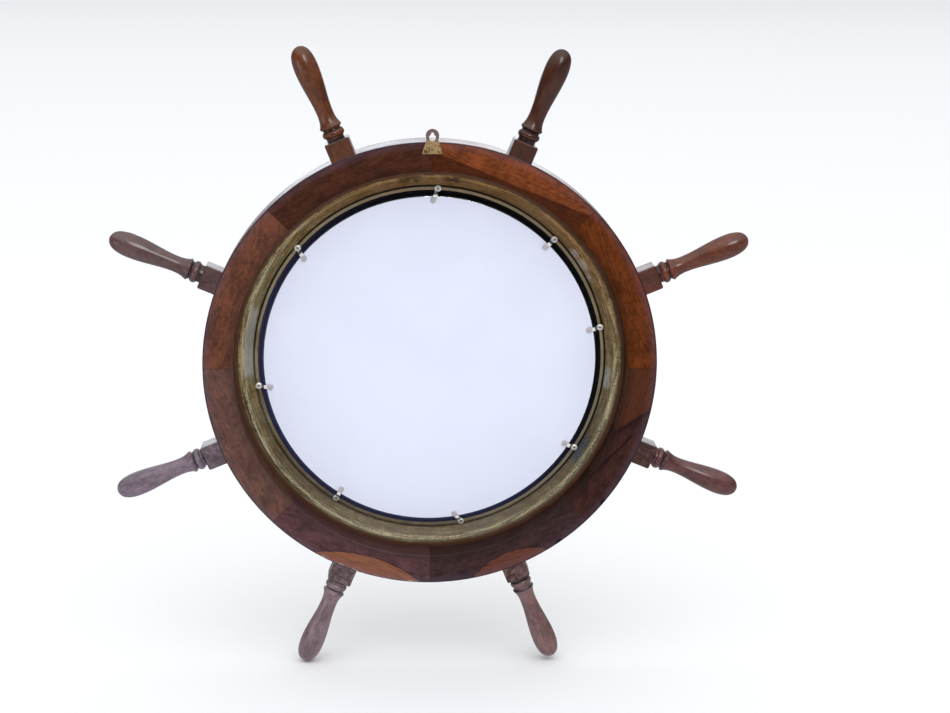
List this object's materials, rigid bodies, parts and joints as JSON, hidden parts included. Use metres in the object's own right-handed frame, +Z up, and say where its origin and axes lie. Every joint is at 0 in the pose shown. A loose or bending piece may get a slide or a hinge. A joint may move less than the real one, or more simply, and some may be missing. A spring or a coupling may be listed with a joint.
{
  "type": "ship's wheel porthole mirror",
  "caption": "Wooden ship's-wheel wall mirror: a round rim of felloes with turned handles, a brass porthole bezel, a gasketed mirror held by turn clips, and a keyhole hanger.",
  "frame": {"origin": "centre of the whole object: on the wheel's axis, midway between the hanger screws' heads at the back and the bezel's crown at the front", "axes": "+Z up as hung, with the hanger at the top; +Y along the wheel's axis, from the back, which goes against the wall, to the front; +X to the right as seen from the back"},
  "size_m": [0.7086, 0.0524, 0.7092],
  "materials": {
    "rim_wood": "satin varnish, worn",
    "handle_wood": "satin varnish, worn",
    "dowel_wood": "bare",
    "bezel_brass": "tarnished cast brass",
    "hanger_brass": "dull sheet brass",
    "screw_brass": "dull",
    "screw_steel": "nickel plated",
    "clip_metal": "nickel plated",
    "sleeve_plastic": "translucent soft vinyl",
    "gasket_rubber": "black rubber",
    "mirror": "silvered glass",
    "backing_paint": "satin pale backing"
  },
  "bodies": {
    "wheel": {"felloe_1": "rim_wood", "felloe_2": "rim_wood", "felloe_3": "rim_wood", "felloe_4": "rim_wood", "felloe_5": "rim_wood", "felloe_6": "rim_wood", "felloe_7": "rim_wood", "felloe_8": "rim_wood", "handle_1": "handle_wood", "handle_2": "handle_wood", "handle_3": "handle_wood", "handle_4": "handle_wood", "handle_5": "handle_wood", "handle_6": "handle_wood", "handle_7": "handle_wood", "handle_8": "handle_wood", "bezel": "bezel_brass", "bezel_screws": "screw_brass", "gasket": "gasket_rubber", "mirror_glass": "mirror", "mirror_backing": "backing_paint", "clip_screws": "screw_steel", "hanger_plate": "hanger_brass", "hanger_screws": "screw_brass", "joint_dowels": "dowel_wood"},
    "clip_1": {"clip_1": "clip_metal", "clip_sleeve_1": "sleeve_plastic"},
    "clip_2": {"clip_2": "clip_metal", "clip_sleeve_2": "sleeve_plastic"},
    "clip_3": {"clip_3": "clip_metal", "clip_sleeve_3": "sleeve_plastic"},
    "clip_4": {"clip_4": "clip_metal", "clip_sleeve_4": "sleeve_plastic"},
    "clip_5": {"clip_5": "clip_metal", "clip_sleeve_5": "sleeve_plastic"},
    "clip_6": {"clip_6": "clip_metal", "clip_sleeve_6": "sleeve_plastic"},
    "clip_7": {"clip_7": "clip_metal", "clip_sleeve_7": "sleeve_plastic"},
    "clip_8": {"clip_8": "clip_metal", "clip_sleeve_8": "sleeve_plastic"}
  },
  "joints": [
    {"name": "clip_1_swivel", "type": "hinge", "parent": "wheel", "child": "clip_1", "pos_m": [0.19328, 0.01625, 0.03862], "axis": [0, -1, 0], "range_deg": [-104, 106]},
    {"name": "clip_2_swivel", "type": "hinge", "parent": "wheel", "child": "clip_2", "pos_m": [0.13888, 0.01625, 0.13986], "axis": [0, -1, 0], "range_deg": [-97, 113]},
    {"name": "clip_3_swivel", "type": "hinge", "parent": "wheel", "child": "clip_3", "pos_m": [0.00757, 0.01625, 0.19695], "axis": [0, -1, 0], "range_deg": [-84, 126]},
    {"name": "clip_4_swivel", "type": "hinge", "parent": "wheel", "child": "clip_4", "pos_m": [-0.14875, 0.01625, 0.12931], "axis": [0, -1, 0], "range_deg": [-88, 122]},
    {"name": "clip_5_swivel", "type": "hinge", "parent": "wheel", "child": "clip_5", "pos_m": [-0.19483, 0.01625, -0.02981], "axis": [0, -1, 0], "range_deg": [-94, 116]},
    {"name": "clip_6_swivel", "type": "hinge", "parent": "wheel", "child": "clip_6", "pos_m": [-0.10821, 0.01625, -0.16474], "axis": [0, -1, 0], "range_deg": [-111, 99]},
    {"name": "clip_7_swivel", "type": "hinge", "parent": "wheel", "child": "clip_7", "pos_m": [0.03693, 0.01625, -0.19361], "axis": [0, -1, 0], "range_deg": [-130, 80]},
    {"name": "clip_8_swivel", "type": "hinge", "parent": "wheel", "child": "clip_8", "pos_m": [0.16733, 0.01625, -0.10415], "axis": [0, -1, 0], "range_deg": [-109, 101]}
  ]
}
